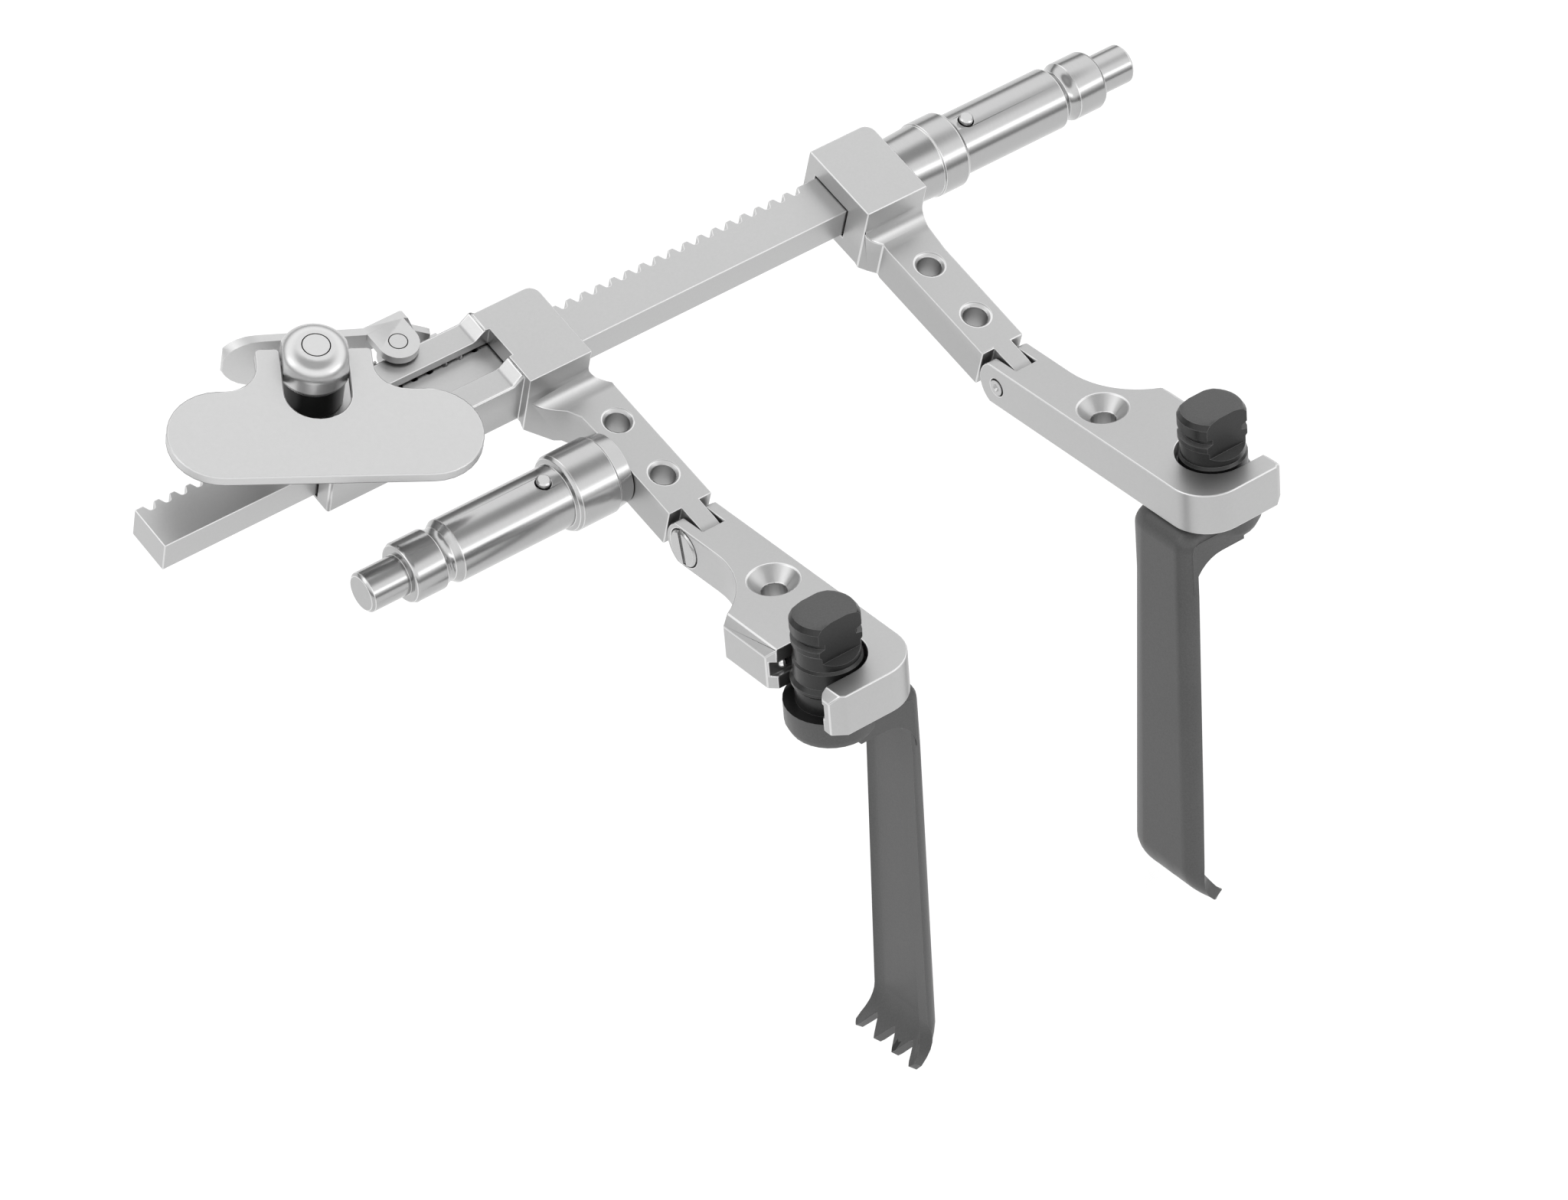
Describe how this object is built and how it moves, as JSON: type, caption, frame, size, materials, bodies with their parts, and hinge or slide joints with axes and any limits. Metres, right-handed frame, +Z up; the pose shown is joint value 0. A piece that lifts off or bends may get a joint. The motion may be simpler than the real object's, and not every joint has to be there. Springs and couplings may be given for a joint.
{
  "type": "cervical spreader",
  "caption": "Rack-driven surgical spreader: a fixed and a sliding arm with hinged outer arms, swivelling toothed blades, a folding key, a release pawl and coaxial mounting posts.",
  "frame": {"origin": "centre of the rack's free end face", "axes": "+X along the rack towards the fixed arm, +Y towards the toothed side of the rack, +Z up"},
  "size_m": [0.1644, 0.1153, 0.0784],
  "materials": {
    "satin_steel": "satin",
    "key_steel": "satin",
    "turned_steel": "turned",
    "ball_steel": "polished",
    "black_coat": "matte"
  },
  "bodies": {
    "rack_frame": {"rack_bar": "satin_steel", "fixed_arm": "satin_steel", "rack_retaining_pin": "satin_steel", "fixed_post": "turned_steel", "fixed_post_pin": "turned_steel"},
    "carriage": {"sliding_arm": "satin_steel", "sliding_post": "turned_steel", "sliding_post_pin": "turned_steel", "pinion_cover": "satin_steel", "pawl_pivot_pin": "turned_steel", "pawl_leaf_spring": "satin_steel", "leaf_rivet": "turned_steel"},
    "pinion": {"pinion_gear": "satin_steel", "key_pillar": "turned_steel", "key_cross_pin": "turned_steel"},
    "wing": {"key_wing": "key_steel"},
    "pawl": {"pawl_lever": "satin_steel"},
    "left_outer_arm": {"left_holder": "satin_steel", "hinge_screw": "turned_steel"},
    "right_outer_arm": {"right_holder": "satin_steel", "hinge_rivet": "turned_steel"},
    "left_blade_body": {"left_blade": "black_coat"},
    "right_blade_body": {"right_blade": "black_coat"},
    "left_inner_detent": {"left_inner_ball": "ball_steel"},
    "left_outer_detent": {"left_outer_ball": "ball_steel"},
    "right_inner_detent": {"right_inner_ball": "ball_steel"},
    "right_outer_detent": {"right_outer_ball": "ball_steel"}
  },
  "joints": [
    {"name": "carriage_slide", "type": "slide", "parent": "rack_frame", "child": "carriage", "axis": [1, 0, 0], "range_m": [-0.022, 0.042]},
    {"name": "pinion_spin", "type": "hinge", "parent": "carriage", "child": "pinion", "pos_m": [0.0295, 0.00656, 0], "axis": [0, 0, 1], "range_deg": [-700, 370]},
    {"name": "wing_fold", "type": "hinge", "parent": "pinion", "child": "wing", "pos_m": [0.0295, 0.00656, 0.0106], "axis": [-0.8704, 0.4924, 0], "range_deg": [0, 90]},
    {"name": "pawl_release", "type": "hinge", "parent": "carriage", "child": "pawl", "pos_m": [0.0438, 0.007, 0], "axis": [0, 0, 1], "range_deg": [0, 7], "stiffness_Nm_per_rad": 0.02, "springref_deg": -11.46},
    {"name": "left_arm_tilt", "type": "hinge", "parent": "carriage", "child": "left_outer_arm", "pos_m": [0.06455, -0.0353, -0.0035], "axis": [1, 0, 0], "range_deg": [-40, 30]},
    {"name": "right_arm_tilt", "type": "hinge", "parent": "rack_frame", "child": "right_outer_arm", "pos_m": [0.11755, -0.0353, -0.0035], "axis": [1, 0, 0], "range_deg": [-40, 30]},
    {"name": "left_blade_swivel", "type": "hinge", "parent": "left_outer_arm", "child": "left_blade_body", "pos_m": [0.05875, -0.06764, 0.00763], "axis": [0, 0.3256, 0.9455], "range_deg": [-15, 15]},
    {"name": "right_blade_swivel", "type": "hinge", "parent": "right_outer_arm", "child": "right_blade_body", "pos_m": [0.12335, -0.06764, 0.00763], "axis": [0, 0.3256, 0.9455], "range_deg": [-15, 15]},
    {"name": "left_inner_detent_slide", "type": "slide", "parent": "left_outer_arm", "child": "left_inner_detent", "axis": [0, 0.9455, -0.3256], "range_m": [0, 0.00055], "stiffness_N_per_m": 2},
    {"name": "left_outer_detent_slide", "type": "slide", "parent": "left_outer_arm", "child": "left_outer_detent", "axis": [0, -0.9455, 0.3256], "range_m": [0, 0.00055], "stiffness_N_per_m": 2},
    {"name": "right_inner_detent_slide", "type": "slide", "parent": "right_outer_arm", "child": "right_inner_detent", "axis": [0, 0.9455, -0.3256], "range_m": [0, 0.00055], "stiffness_N_per_m": 2},
    {"name": "right_outer_detent_slide", "type": "slide", "parent": "right_outer_arm", "child": "right_outer_detent", "axis": [0, -0.9455, 0.3256], "range_m": [0, 0.00055], "stiffness_N_per_m": 2}
  ],
  "couplings": [
    {"joint": "pinion_spin", "follows": "carriage_slide", "rad_per_m": -284.95}
  ]
}
